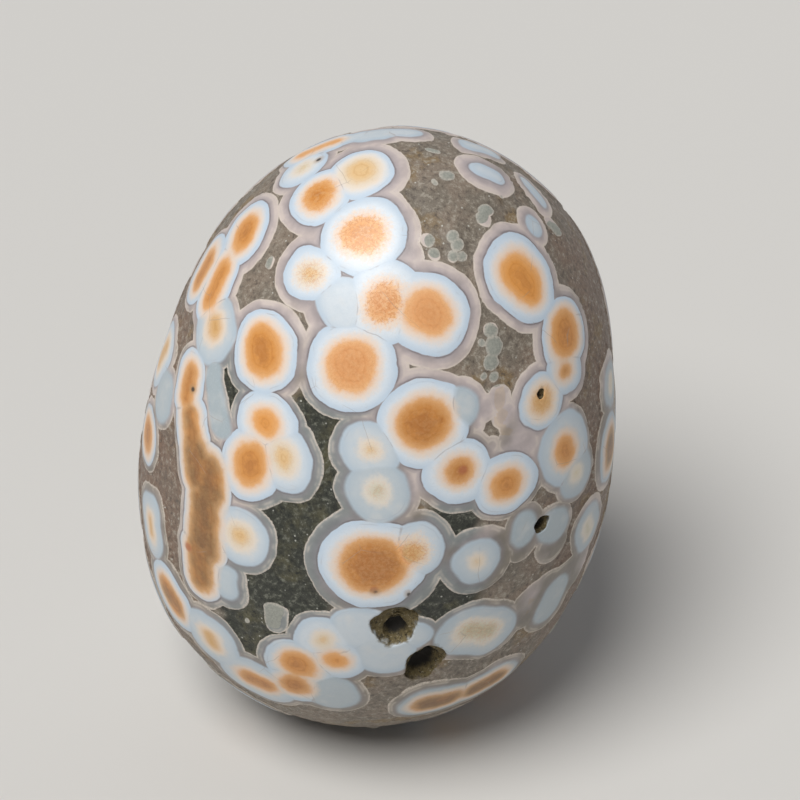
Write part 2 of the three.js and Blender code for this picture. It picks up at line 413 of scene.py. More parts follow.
class Build:
    """Adds nodes to one tree and joins them up"""

    def __init__(self, tree):
        self.tree = tree

    def node(self, kind, inputs=None, **settings):
        """A node with its settings, its inputs given by name or number"""
        made = self.tree.nodes.new(kind)
        for name, value in settings.items():
            setattr(made, name, value)
        for key, value in (inputs or {}).items():
            self.feed(made.inputs[key], value)
        return made

    def feed(self, socket, value):
        """Gives an input a value, or links it to an output"""
        if isinstance(value, bpy.types.NodeSocket):
            self.tree.links.new(value, socket)
        else:
            socket.default_value = value

    def math(self, operation, *values, clamp=False):
        made = self.node("ShaderNodeMath", dict(enumerate(values)), operation=operation, use_clamp=clamp)
        return made.outputs[0]

    def times(self, first, second, clamp=False):
        return self.math("MULTIPLY", first, second, clamp=clamp)

    def plus(self, first, second):
        return self.math("ADD", first, second)

    def minus(self, first, second):
        return self.math("SUBTRACT", first, second)

    def scaled(self, value, gain, shift, clamp=False):
        return self.math("MULTIPLY_ADD", value, gain, shift, clamp=clamp)

    def product(self, *values):
        """All the values multiplied together"""
        made = values[0]
        for value in values[1:]:
            made = self.times(made, value)
        return made

    def vector(self, operation, *values, scale=None):
        made = self.node("ShaderNodeVectorMath", dict(enumerate(values)), operation=operation)
        if scale is not None:
            self.feed(made.inputs["Scale"], scale)
        scalar = operation in ("DOT_PRODUCT", "LENGTH", "DISTANCE")
        return made.outputs["Value" if scalar else "Vector"]

    def combine(self, x, y, z):
        return self.node("ShaderNodeCombineXYZ", {"X": x, "Y": y, "Z": z}).outputs["Vector"]

    def split(self, vector):
        made = self.node("ShaderNodeSeparateXYZ", {"Vector": vector})
        return made.outputs["X"], made.outputs["Y"], made.outputs["Z"]

    def ramp(self, value, low, high):
        """0 at low, 1 at high, smooth between"""
        inputs = {"Value": value, "From Min": low, "From Max": high}
        made = self.node("ShaderNodeMapRange", inputs, interpolation_type="SMOOTHSTEP")
        return made.outputs["Result"]

    def mix(self, share, first, second, blend="MIX"):
        """A colour between two colours"""
        inputs = {MIX_SHARE: share, MIX_COLOURS[0]: colour(first), MIX_COLOURS[1]: colour(second)}
        made = self.node("ShaderNodeMix", inputs, data_type="RGBA", blend_type=blend)
        return made.outputs[MIX_COLOUR_RESULT]

    def tinted(self, first, second):
        """A colour multiplied by another"""
        return self.mix(1.0, first, second, "MULTIPLY")

    def over(self, base, second, *masks):
        """A colour with a second one laid over it, as strongly as the product of the masks says"""
        return self.mix(self.product(*masks), base, second)

    def shaded(self, base, tint, *masks):
        """A colour multiplied by a tint, as strongly as the product of the masks says"""
        return self.over(base, self.tinted(base, tint), *masks)

    def mix_vector(self, share, first, second):
        """A vector between two vectors"""
        inputs = {MIX_SHARE: share, MIX_VECTORS[0]: first, MIX_VECTORS[1]: second}
        made = self.node("ShaderNodeMix", inputs, data_type="VECTOR")
        return made.outputs[MIX_VECTOR_RESULT]

    def attribute(self, name, output="Vector"):
        return self.node("ShaderNodeAttribute", attribute_name=name).outputs[output]

    def noise(self, place, waves, output="Fac"):
        inputs = {"Vector": place, "Scale": waves.scale, "Detail": waves.detail, "Roughness": waves.rough}
        return self.node("ShaderNodeTexNoise", inputs).outputs[output]


def colour(value):
    """A colour with its alpha, or a socket as it is"""
    return value if isinstance(value, bpy.types.NodeSocket) else (*value, 1.0)


def new_tree(name, kind, inputs, outputs):
    """An empty node group with named sockets"""
    tree = bpy.data.node_groups.new(name, kind)
    for label, socket in inputs:
        tree.interface.new_socket(label, in_out="INPUT", socket_type=socket)
    for label, socket in outputs:
        tree.interface.new_socket(label, in_out="OUTPUT", socket_type=socket)
    return tree


FLOAT = "NodeSocketFloat"
INTEGER = "NodeSocketInt"
VECTOR = "NodeSocketVector"
GEOMETRY = "NodeSocketGeometry"
MATERIAL = "NodeSocketMaterial"

BODY_INPUTS = ("half_width", "half_depth", "crown", "base", "foot_cut", "foot_round", "lean", "taper", "rows")
RELIEF_INPUTS = ("ground_sink", "halo_sink", "grain_depth")


def body_tree():
    """Spreads a six-sided grid over the pebble's body and flattens its foot"""
    inputs = [(name, INTEGER if name == "rows" else FLOAT) for name in BODY_INPUTS]
    inputs.append(("material", MATERIAL))
    tree = new_tree("pebble_body", "GeometryNodeTree", inputs, [("Geometry", GEOMETRY)])
    build = Build(tree)
    given = build.node("NodeGroupInput").outputs
    corners = build.plus(given["rows"], 1.0)
    grid = build.node("GeometryNodeMeshCube", {"Size": (2.0, 2.0, 2.0)})
    for axis in "XYZ":
        build.feed(grid.inputs[f"Vertices {axis}"], corners)

    place = build.node("GeometryNodeInputPosition").outputs["Position"]
    evened = [build.math("TANGENT", build.times(part, math.pi / 4)) for part in build.split(place)]
    direction = build.vector("NORMALIZE", build.combine(*evened))
    x, y, z = build.split(direction)
    crown_share = build.scaled(z, 0.5, 0.5)
    gain = build.minus(given["crown"], given["base"])
    height = build.scaled(crown_share, gain, given["base"])
    stretched = build.combine(
        build.math("DIVIDE", x, given["half_width"]),
        build.math("DIVIDE", y, given["half_depth"]),
        build.math("DIVIDE", z, height),
    )
    reach = build.math("DIVIDE", 1.0, build.vector("LENGTH", stretched))
    px, py, pz = build.split(build.vector("SCALE", direction, scale=reach))
    narrowing = build.minus(1.0, build.times(given["taper"], pz))
    shift = build.times(given["lean"], pz)
    point = build.combine(build.scaled(px, narrowing, shift), build.times(py, narrowing), pz)
    rise = 0.0
    for swell in SWELLS:
        facing = build.vector("DOT_PRODUCT", direction, unit(swell.toward))
        steep = 2 / swell.reach**2
        share = build.math("EXPONENT", build.scaled(facing, steep, -steep))
        rise = build.scaled(share, swell.rise, rise)
    point = build.vector("ADD", point, build.vector("SCALE", direction, scale=rise))
    fx, fy, fz = build.split(point)
    lift = build.minus(given["base"], given["foot_cut"])
    flat = build.math("SMOOTH_MAX", build.plus(fz, lift), 0.0, given["foot_round"])
    inputs = {"Geometry": grid.outputs["Mesh"], "Position": build.combine(fx, fy, flat)}
    shaped = build.node("GeometryNodeSetPosition", inputs)
    finish_tree(build, shaped.outputs["Geometry"], given["material"])
    return tree


def finish_tree(build, geometry, material):
    """The last nodes of every shape tree"""
    real = build.node("GeometryNodeRealizeInstances", {"Geometry": geometry})
    smooth = build.node("GeometryNodeSetShadeSmooth", {"Geometry": real.outputs["Geometry"]})
    inputs = {"Geometry": smooth.outputs["Geometry"], "Material": material}
    dressed = build.node("GeometryNodeSetMaterial", inputs)
    build.node("NodeGroupOutput", {"Geometry": dressed.outputs["Geometry"]})


def run_tree(piece, tree, values):
    """Runs a shape tree on a piece and keeps the result as its plain mesh"""
    modifier = piece.modifiers.new(tree.name, "NODES")
    modifier.node_group = tree
    for item in tree.interface.items_tree:
        if item.in_out == "INPUT" and item.name in values:
            modifier[item.identifier] = values[item.name]
    evaluated = piece.evaluated_get(bpy.context.evaluated_depsgraph_get())
    made = bpy.data.meshes.new_from_object(evaluated)
    piece.modifiers.remove(modifier)
    old = piece.data
    piece.data = made
    bpy.data.meshes.remove(old)
    piece.data.name = piece.name


def belly_place(sizes):
    """The belly's centre once the body's box is centred over the origin"""
    scene = bpy.context.scene
    return Vector((*scene["agate_middle"], sizes.base - sizes.foot_cut))


class AGATE_OT_body(bpy.types.Operator):
    """Shape the pebble's body"""

    bl_idname = "agate.body"
    bl_label = "Stone body"

    def execute(self, context):
        sizes = context.scene.agate_sizes
        piece = bpy.data.objects.new(PIECE, bpy.data.meshes.new(PIECE))
        context.scene.collection.objects.link(piece)
        values = {name: getattr(sizes, name) for name in BODY_INPUTS}
        values["material"] = agate_material(context.scene.agate_colours)
        run_tree(piece, body_tree(), values)
        low, high = mesh_box(piece.data)
        middle = (low + high) / 2
        piece.data.transform(Matrix.Translation((-middle[0], -middle[1], 0.0)))
        context.scene["agate_middle"] = (-float(middle[0]), -float(middle[1]))
        return {"FINISHED"}


def mesh_points(mesh):
    """The corners of a mesh, one to a row"""
    points = np.empty(len(mesh.vertices) * 3, np.float32)
    mesh.vertices.foreach_get("co", points)
    return points.reshape(-1, 3).astype(float)


def mesh_box(mesh):
    """The lowest and highest corner of a mesh's box"""
    points = mesh_points(mesh)
    return points.min(0), points.max(0)


def pit_shares(points, pit, belly, surface):
    """How far each point is from a pit's middle, 1 at its rim, and from its hole's, and which way it opens"""
    outward = unit(pit.toward)
    middle = surface.ray_cast(belly, outward)[0]
    sideways = Vector((-outward.y, outward.x, 0.0)).normalized()
    upward = outward.cross(sideways)
    turned = Matrix.Rotation(pit.turn, 3, outward)
    gap = points - np.array(middle)
    across = gap @ np.array(turned @ sideways) / (pit.across / 2)
    up = gap @ np.array(turned @ upward) / (pit.up / 2)
    angle = np.arctan2(up, across)
    size = 1.0 + sum(share * np.sin(around * angle) for around, share in PIT_WAVES)
    share = np.hypot(across, up) / size
    hole = np.hypot(across, up + pit.low) / size
    for index in np.flatnonzero(share < PIT_FAR):
        ragged = PIT_RAGGED * noise.noise(Vector(points[index]) * PIT_RAGGED_WAVES)
        share[index] += ragged
        hole[index] += ragged
    behind = gap @ np.array(outward) < -2 * pit.across
    share[behind] = PIT_FAR
    hole[behind] = PIT_FAR
    return share, hole, outward


def stone_surface(mesh):
    """A search tree over the mesh, for rays and nearest points"""
    made = bmesh.new()
    made.from_mesh(mesh)
    surface = BVHTree.FromBMesh(made)
    made.free()
    return surface


class AGATE_OT_pits(bpy.types.Operator):
    """Sink the open pits into the body"""

    bl_idname = "agate.pits"
    bl_label = "Open pits"

    def execute(self, context):
        mesh = bpy.data.objects[PIECE].data
        belly = belly_place(context.scene.agate_sizes)
        surface = stone_surface(mesh)
        made = bmesh.new()
        made.from_mesh(mesh)
        middles = np.array([face.calc_center_median() for face in made.faces])
        near = np.min([pit_shares(middles, pit, belly, surface)[0] for pit in PITS], axis=0) < PIT_FINE
        edges = {edge for face, close in zip(list(made.faces), near) if close for edge in face.edges}
        bmesh.ops.subdivide_edges(made, edges=list(edges), cuts=PIT_CUTS, use_grid_fill=True, smooth=0.0)
        bmesh.ops.triangulate(made, faces=[face for face in made.faces if len(face.verts) > 4])
        made.to_mesh(mesh)
        made.free()

        points = mesh_points(mesh)
        reach = np.full(len(points), PIT_FAR)
        deep = np.zeros(len(points))
        moved = points.copy()
        for pit in PITS:
            share, from_hole, outward = pit_shares(points, pit, belly, surface)
            basin = np.sqrt(np.clip(1 - share**2, 0, 1))
            inside = np.clip(RIM_STEEP - RIM_STEEP * share, 0, 1)
            hole = np.clip(HOLE_STEEP - HOLE_STEEP * (from_hole / pit.hole) ** 2, 0, 1) * inside
            bowl = pit.depth * (PIT_SHOULDER * basin + (1 - PIT_SHOULDER) * hole)
            moved -= np.outer(bowl, np.array(outward))
            reach = np.minimum(reach, share)
            deep = np.maximum(deep, hole)
        mesh.vertices.foreach_set("co", moved.astype(np.float32).ravel())
        store(mesh, "pit_reach", "POINT", reach)
        store(mesh, "pit_hole", "POINT", deep)
        mesh.update()
        return {"FINISHED"}


def store(mesh, name, domain, values):
    """Keeps an array on the mesh as a named attribute"""
    vectors = values.ndim == 2
    kept = mesh.attributes.new(name, "FLOAT_VECTOR" if vectors else "FLOAT", domain)
    kept.data.foreach_set("vector" if vectors else "value", values.astype(np.float32).ravel())


class View:
    """The photograph's camera: where it stands, where it looks, and the line of sight of each pixel"""

    def __init__(self, belly):
        self.right = Vector((1.0, 0.0, 0.0))
        self.up = Vector((0.0, math.sin(CAMERA_RISE), math.cos(CAMERA_RISE)))
        self.back = Vector((0.0, -math.cos(CAMERA_RISE), math.sin(CAMERA_RISE)))
        self.aim = belly + self.right * LOOK_RIGHT + self.up * LOOK_UP
        self.place = self.aim + self.back * CAMERA_DISTANCE

    def sight(self, x, y):
        across = self.right * ((x - PHOTO_SIDE / 2) * PIXEL)
        upward = self.up * ((PHOTO_SIDE / 2 - y) * PIXEL)
        return (self.aim + across + upward - self.place).normalized()

    def on_stone(self, surface, x, y):
        """The stone's surface at a pixel, or its nearest point where the pixel is just beside the stone"""
        sight = self.sight(x, y)
        hit = surface.ray_cast(self.place, sight)[0]
        if hit is None:
            beside = self.place + sight * (self.aim - self.place).length
            hit = surface.find_nearest(beside)[0]
        return hit


# One growth in the stone, in millimetres: its middle, the way from there to one end of its middle line, the
# radii of its core, white and halo, and its kind, which is its tint, grain and shade
Growth = namedtuple("Growth", "middle half radii kind")
NO_RING = -1.0  # radius of a ring that a growth doesn't have
BUD_KIND = (0.0, 0.0, 2.0)  # the shade tells the finish that a growth is a plain grey bud
BEIGE_KIND = (0.0, 0.0, -1.0)  # the same for a plain beige one


def seen_growth(view, surface, mark, radii, kind):
    """A growth placed by its pixel, with its middle line between two pixels"""
    ends = []
    for way in (-1, 1):
        x = mark.x + way * mark.along[0]
        y = mark.y + way * mark.along[1]
        ends.append(view.on_stone(surface, x, y))
    middle = view.on_stone(surface, mark.x, mark.y)
    half = (ends[1] - ends[0]) / 2
    return Growth(np.array(middle) / MM, np.array(half) / MM, radii, kind)


def seen_growths(view, surface):
    """The eyes and buds of the face that the photograph shows"""
    growths = []
    for eye in SEEN_EYES:
        kind = (TINTS[eye.tint], eye.grain, eye.shade)
        growths.append(seen_growth(view, surface, eye, (eye.core, eye.white, eye.halo), kind))
    for bud in SEEN_BUDS:
        kind = BEIGE_KIND if bud.beige else BUD_KIND
        growths.append(seen_growth(view, surface, bud, (NO_RING, NO_RING, bud.radius), kind))
    return growths


def hidden_growths(view, surface, belly, growths):
    """Growths on the unseen sides: large ones first, each clear enough of those already there"""
    random = np.random.RandomState(HIDDEN_SEED)

    def random_place():
        direction = Vector(random.normal(size=3)).normalized()
        place, normal, _, _ = surface.ray_cast(belly, direction)
        to_camera = (view.place - place).normalized()
        away = -normal.dot(to_camera) * HIDDEN_TURN
        bare = noise.noise(place * HIDDEN_GROUND_WAVES) < HIDDEN_GROUND
        return np.array(place) / MM, np.array(normal), away, bare

    def gaps(place, ring):
        middles = np.array([growth.middle for growth in growths])
        halves = np.array([growth.half for growth in growths])
        radii = np.array([growth.radii[ring] for growth in growths])
        return line_distance(place[None], middles, halves)[0], radii

    for white in HIDDEN_WHITES:
        for _ in range(HIDDEN_TRIES):
            place, normal, away, bare = random_place()
            size = white * random.uniform(*HIDDEN_SIZE)
            core = size * random.uniform(*HIDDEN_CORE)
            halo = size + random.uniform(*HIDDEN_HALO)
            tint = HIDDEN_TINTS[random.randint(len(HIDDEN_TINTS))]
            grain, shade = random.uniform(0, 1, 2) ** 2
            along = np.cross(normal, random.normal(size=3)) * random.uniform(*HIDDEN_ALONG)
            if away < size or bare:
                continue
            distance, radii = gaps(place, 1)
            if np.any(distance < HIDDEN_OVERLAP * (size + np.maximum(radii, 0))):
                continue
            core = NO_RING if tint == "clear" else core
            kind = (TINTS[tint], grain, shade * HIDDEN_SHADE)
            growths.append(Growth(place, along, (core, size, halo), kind))
    for _ in range(HIDDEN_BUD_TRIES):
        place, _, away, _ = random_place()
        size = random.uniform(*HIDDEN_BUD)
        distance, radii = gaps(place, 2)
        if away > size and np.all(distance > radii + HIDDEN_BUD_CLEAR * size):
            growths.append(Growth(place, np.zeros(3), (NO_RING, NO_RING, size), BUD_KIND))
    return growths


def line_distance(points, middles, halves):
    """Distance from each point to each growth's middle line"""
    gap = points[:, None, :] - middles[None]
    long = np.maximum((halves**2).sum(1), LEAST_SQUARE)
    share = np.clip((gap * halves[None]).sum(2) / long[None], -1, 1)
    return np.linalg.norm(gap - share[..., None] * halves[None], axis=2)


def nearest_growths(points, growths):
    """For each point, its nearest growths by halo, and how far it is outside the nearest halo and white"""
    middles, halves, radii = (np.array([getattr(g, part) for g in growths]) for part in Growth._fields[:3])
    order, halo, white = [], [], []
    for start in range(0, len(points), ROWS_AT_ONCE):
        distance = line_distance(points[start : start + ROWS_AT_ONCE], middles, halves)
        outside = distance - radii[None, :, 2]
        order.append(np.argsort(outside, axis=1)[:, :NEAREST])
        halo.append(outside.min(1))
        white.append((distance - radii[None, :, 1]).min(1))
    return np.concatenate(order), np.concatenate(halo), np.concatenate(white)


class AGATE_OT_eyes(bpy.types.Operator):
    """Place the eyes and buds, and tell each facet which are nearest to it"""

    bl_idname = "agate.eyes"
    bl_label = "Eyes"

    def execute(self, context):
        mesh = bpy.data.objects[PIECE].data
        belly = belly_place(context.scene.agate_sizes)
        surface = stone_surface(mesh)
        view = View(belly)
        growths = hidden_growths(view, surface, belly, seen_growths(view, surface))

        facets = np.array([face.center for face in mesh.polygons]) / MM
        order, _, _ = nearest_growths(facets, growths)
        parts = {part: np.array([getattr(g, part) for g in growths]) for part in Growth._fields}
        for rank in range(NEAREST):
            for part, values in parts.items():
                store(mesh, f"near{rank + 1}_{part}", "FACE", values[order[:, rank]])

        specks = [view.on_stone(surface, speck.x, speck.y) / MM for speck in SEEN_SPECKS]
        specks += [hidden.middle for hidden in growths[-HIDDEN_SPECKS:]]
        specks = np.array([tuple(speck) for speck in specks])
        gap = np.linalg.norm(facets[:, None] - specks[None], axis=2)
        store(mesh, "near_speck", "FACE", specks[np.argmin(gap, axis=1)])

        points = mesh_points(mesh) / MM
        _, halo, white = nearest_growths(points, growths)
        store(mesh, "halo_reach", "POINT", halo)
        store(mesh, "white_reach", "POINT", white)
        store(mesh, "dark_ground", "POINT", dark_ground(points, view, surface))
        store(mesh, "red_stain", "POINT", near_marks(points, RED_STAINS, view, surface))
        return {"FINISHED"}


def near_marks(points, marks, view, surface):
    """1 near a mark, falling to 0 where it has faded out"""
    near = np.zeros(len(points))
    for mark in marks:
        middle = np.array(view.on_stone(surface, mark.x, mark.y)) / MM
        distance = np.linalg.norm(points - middle, axis=1)
        near = np.maximum(near, np.clip(MARK_FADE - distance / mark.reach, 0, 1))
    return near


def dark_ground(points, view, surface):
    """1 where the ground is green-black: near the marked places, and in broad patches on the unseen sides"""
    dark = near_marks(points, DARK_GROUND, view, surface)
    behind = (np.array(view.aim) / MM - points) @ np.array(view.back)
    unseen = np.clip(behind / UNSEEN_DEPTH - UNSEEN_START, 0, 1)
    for index in np.flatnonzero(unseen):
        patch = noise.noise(Vector(points[index]) * PATCH_WAVES + Vector(PATCH_SHIFT))
        dark[index] = np.clip(patch * PATCH_STEEP - PATCH_LEAST, 0, 1) * unseen[index]
    return dark


def relief_tree():
    """Wears the ground and halos below the whites, and roughens the ground and the pits"""
    inputs = [("Geometry", GEOMETRY), *((name, FLOAT) for name in RELIEF_INPUTS), ("material", MATERIAL)]
    tree = new_tree("worn_relief", "GeometryNodeTree", inputs, [("Geometry", GEOMETRY)])
    build = Build(tree)
    given = build.node("NodeGroupInput").outputs

    def named(name):
        return build.node("GeometryNodeInputNamedAttribute", {"Name": name}, data_type="FLOAT").outputs[0]

    place = build.node("GeometryNodeInputPosition").outputs["Position"]
    place = build.vector("SCALE", place, scale=1 / MM)
    normal = build.node("GeometryNodeInputNormal").outputs[0]
    ground = build.ramp(named("halo_reach"), -0.1, 0.25)
    halo = build.ramp(named("white_reach"), -0.15, 0.2)
    pit = build.minus(1.0, build.ramp(named("pit_reach"), 0.85, 1.15))
    grain = build.ramp(build.noise(place, PITTED_GRAIN), 0.42, 0.7)
    broad = build.noise(place, BROAD_WEAR)
    crust = build.noise(place, CRUST)
    sink = build.times(ground, given["ground_sink"])
    sink = build.scaled(halo, given["halo_sink"], sink)
    sink = build.scaled(build.times(grain, ground), given["grain_depth"], sink)
    sink = build.scaled(build.minus(BROAD_WEAR_LEVEL, broad), BROAD_WEAR_DEPTH, sink)
    sink = build.scaled(build.times(crust, pit), CRUST_DEPTH, sink)
    foot = build.ramp(build.split(place)[2], 0.0, FOOT_FADE)
    sink = build.times(build.math("MAXIMUM", sink, 0.0), foot)
    offset = build.vector("SCALE", normal, scale=build.times(sink, -1.0))
    worn = build.node("GeometryNodeSetPosition", {"Geometry": given["Geometry"], "Offset": offset})
    finish_tree(build, worn.outputs["Geometry"], given["material"])
    return tree


class AGATE_OT_relief(bpy.types.Operator):
    """Wear the surface and hand the finished pebble to the frame"""

    bl_idname = "agate.relief"
    bl_label = "Worn relief"

    def execute(self, context):
        sizes = context.scene.agate_sizes
        piece = bpy.data.objects[PIECE]
        values = {name: getattr(sizes, name) for name in RELIEF_INPUTS}
        values["material"] = bpy.data.materials[FINISH]
        run_tree(piece, relief_tree(), values)
        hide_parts(NODE)
        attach(piece, "root")
        return {"FINISHED"}


def growth_group():
    """How far a point is outside one growth's core, white and halo, in millimetres"""
    inputs = [("Place", VECTOR), ("Middle", VECTOR), ("Half", VECTOR), ("Radii", VECTOR)]
    outputs = [("Core", FLOAT), ("White", FLOAT), ("Halo", FLOAT)]
    tree = new_tree("growth_reach", "ShaderNodeTree", inputs, outputs)
    build = Build(tree)
    given = build.node("NodeGroupInput").outputs
    gap = build.vector("SUBTRACT", given["Place"], given["Middle"])
    square = build.vector("DOT_PRODUCT", given["Half"], given["Half"])
    along = build.vector("DOT_PRODUCT", gap, given["Half"])
    share = build.math("DIVIDE", along, build.math("MAXIMUM", square, LEAST_SQUARE_SHOWN))
    share = build.math("MAXIMUM", build.math("MINIMUM", share, 1.0), -1.0)
    off = build.vector("SUBTRACT", gap, build.vector("SCALE", given["Half"], scale=share))
    distance = build.vector("LENGTH", off)
    core, white, halo = build.split(given["Radii"])
    output = build.node("NodeGroupOutput")
    for name, radius in (("Core", core), ("White", white), ("Halo", halo)):
        build.feed(output.inputs[name], build.minus(distance, radius))
    return tree


def nearer_group():
    """Joins one more growth to those met so far: nearest white and its kind, next white, core and halo"""
    joined = [("White", FLOAT), ("Next", FLOAT), ("Core", FLOAT), ("Halo", FLOAT), ("Kind", VECTOR)]
    inputs = joined + [("White 2", FLOAT), ("Core 2", FLOAT), ("Halo 2", FLOAT), ("Kind 2", VECTOR)]
    tree = new_tree("nearer_growth", "ShaderNodeTree", inputs, joined)
    build = Build(tree)
    given = build.node("NodeGroupInput").outputs
    core_lead = build.minus(given["Core"], given["Core 2"])
    core_share = build.scaled(core_lead, TINT_PASSAGE, 0.5, clamp=True)
    white_lead = build.minus(given["White"], given["White 2"])
    white_share = build.scaled(white_lead, SHADE_PASSAGE, 0.5, clamp=True)
    tint, grain, _ = build.split(build.mix_vector(core_share, given["Kind"], given["Kind 2"]))
    _, _, shade = build.split(build.mix_vector(white_share, given["Kind"], given["Kind 2"]))
    farther = build.math("MAXIMUM", given["White"], given["White 2"])
    values = {
        "White": build.math("MINIMUM", given["White"], given["White 2"]),
        "Next": build.math("MINIMUM", given["Next"], farther),
        "Core": build.math("SMOOTH_MIN", given["Core"], given["Core 2"], CORE_JOIN),
        "Halo": build.math("SMOOTH_MIN", given["Halo"], given["Halo 2"], HALO_JOIN),
        "Kind": build.combine(tint, grain, shade),
    }
    build.node("NodeGroupOutput", values)
    return tree


def add_group(build, tree, inputs):
    """A group's outputs, once its inputs are given"""
    made = build.node("ShaderNodeGroup", node_tree=tree)
    for key, value in inputs.items():
        build.feed(made.inputs[key], value)
    return made.outputs


def met_growths(build, place):
    """The nearest growths of a facet joined into one set of reaches"""
    reach, nearer = growth_group(), nearer_group()
    met = None
    for rank in range(1, NEAREST + 1):
        parts = {part.title(): build.attribute(f"near{rank}_{part}") for part in Growth._fields}
        kind = parts.pop("Kind")
        one = add_group(build, reach, {"Place": place, **parts})
        if met is None:
            met = {name: one[name] for name in ("White", "Core", "Halo")}
            met["Next"] = NO_NEXT_WHITE
            met["Kind"] = kind
        else:
            more = {f"{name} 2": one[name] for name in ("White", "Core", "Halo")}
            more["Kind 2"] = kind
            joined = add_group(build, nearer, {**met, **more})
            met = {name: joined[name] for name in met}
    return met


def warped_place(build):
    """Object coordinates in millimetres, pushed about a little so that no ring is a true circle"""
    place = build.node("ShaderNodeTexCoord").outputs["Object"]
    place = build.vector("SCALE", place, scale=1 / MM)
    warped = place
    for waves, far in WARPS:
        push = build.noise(place, waves, output="Color")
        push = build.vector("SUBTRACT", push, (0.5, 0.5, 0.5))
        warped = build.vector("ADD", warped, build.vector("SCALE", push, scale=far))
    return place, warped


# The colour of a core at each tint. Deep lies between orange and amber.
TINT_COLOURS = {
    "clear": (0.70, 0.78, 0.85),
    "sand": (0.60, 0.55, 0.40),
    "cream": (0.76, 0.64, 0.42),
    "honey": (0.80, 0.55, 0.28),
    "tan": (0.70, 0.42, 0.17),
    "peach": (0.80, 0.385, 0.155),
    "orange": (0.80, 0.35, 0.085),
    "amber": (0.60, 0.26, 0.065),
    "umber": (0.44, 0.21, 0.065),
    "brown": (0.31, 0.165, 0.06),
}

# Fixed colours of the ground
WARM_GROUND = (0.245, 0.195, 0.15)
RUSSET_GROUND = (0.20, 0.122, 0.084)  # towards both sides
DARK_GRAINS = (0.085, 0.068, 0.055)
OLIVE_GROUND = (0.085, 0.078, 0.040)
GREEN_GRAINS = (0.20, 0.205, 0.165)
BLACK_GRAINS = (0.010, 0.012, 0.009)
# Painted glints: tiny bright crystal glints in the ground
PAINTED_GLINTS = (0.66, 0.66, 0.60)

# Fixed colours and tints of the cores
PALE_CORE_EDGE = (0.80, 0.76, 0.66)
RICH_CORE_EDGE = (0.92, 0.56, 0.28)
CORE_MIDDLE_TINT = (0.78, 0.72, 0.70)
CORE_RING_TINT = (0.8, 0.7, 0.6)
MOTTLE_TINT = (0.84, 0.72, 0.58)
PALE_CRYSTALS = (0.88, 0.60, 0.34)
RUST_THREADS = (0.60, 0.21, 0.05)
CREAM_PASSAGE = (0.88, 0.79, 0.70)  # between a core and its white

# Fixed colours of the whites and of the marks on an eye
BLUE_CLOUDS = (0.62, 0.71, 0.80)
WARM_CLOUDS = (0.76, 0.73, 0.69)
GREY_GRAINS = (0.56, 0.63, 0.69)
INNER_LINE = (0.44, 0.49, 0.56)
SEAMS = (0.36, 0.33, 0.33)
CRACKS = (0.36, 0.30, 0.26)
RUST_STAIN = (0.42, 0.12, 0.05)
SPECK_EDGE = (0.42, 0.26, 0.13)
SPECK_MIDDLE = (0.03, 0.025, 0.02)

# Fixed colours and tints of the halos and buds
# Dusky halo colour: painted shade that dims the halos lower on the stone, and also random dusky patches where
# the drift is low
DUSKY_AND_SHADED_HALO = (0.27, 0.24, 0.20)
GREEN_HALO = (0.265, 0.285, 0.285)  # over dark ground
HALO_CLOUD_TINT = (1.2, 1.18, 1.16)
HALO_INSIDE_TINT = (0.86, 0.86, 0.89)
HALO_OUTSIDE_TINT = (1.07, 1.06, 1.05)
HALO_SHADOW_TINT = (0.7, 0.7, 0.7)
BEIGE_TINT = (1.0, 0.95, 0.84)
DARK_BUD = (0.27, 0.28, 0.25)
PALE_BUD = (0.37, 0.375, 0.33)

# Fixed colours of the pits, and the near-black painted shade in their deep holes
DARK_CRUST = (0.035, 0.027, 0.013)
OCHRE_CRUST = (0.15, 0.115, 0.048)
PALE_CRUST = (0.34, 0.29, 0.19)
PAINTED_HOLE_SHADE = (0.018, 0.015, 0.011)

# Noises of the finish
FINE = Waves(5.0, 3.0, 0.65)
MIDDLING = Waves(1.6, 3.0, 0.6)
PATCHY = Waves(0.5)
CRYSTALS = Waves(2.8, 5.0, 0.75)
TINT_DRIFT = Waves(0.45)
CORE_RINGS = Waves(2.2, 3.0, 0.6)
THREADS = Waves(1.9, 4.0, 0.7)
CRACK_PATCHES = Waves(0.25)
HALO_DRIFT = Waves(0.17)
GROUND_GRAINS = Waves(1.9, 5.0, 0.75)
GROUND_PATCHES = Waves(0.30, 3.0, 0.6)
OCHRE_PATCHES = Waves(0.22, 3.0, 0.6)
OCHRE_SHIFT = (40.0, 0.0, 0.0)  # keeps the ochre patches apart from the other ones
GLINT_PATCHES = Waves(0.9)
GRIT = Waves(6.5, 4.0, 0.7)
SOFT_BUMPS = Waves(0.8)
CRACK_CELLS = 0.13  # cells to a millimetre whose edges crack
GLINT_CELLS = 1.6  # cells to a millimetre that hold a spark

REFRACTION = 1.54  # of quartz
BUMP_STRENGTH = 0.5
BUMP_HEIGHT = 0.08 * MM

# A point as the finish sees it: its place in millimetres, plain and warped, the noises there, how far it is
# outside the nearest core, white, next white and halo, its growth's kind, and how rich its tint is
NOISES = "fine middling patchy crystals"
Field = namedtuple("Field", f"place warped {NOISES} core white next halo tint grain shade rich")


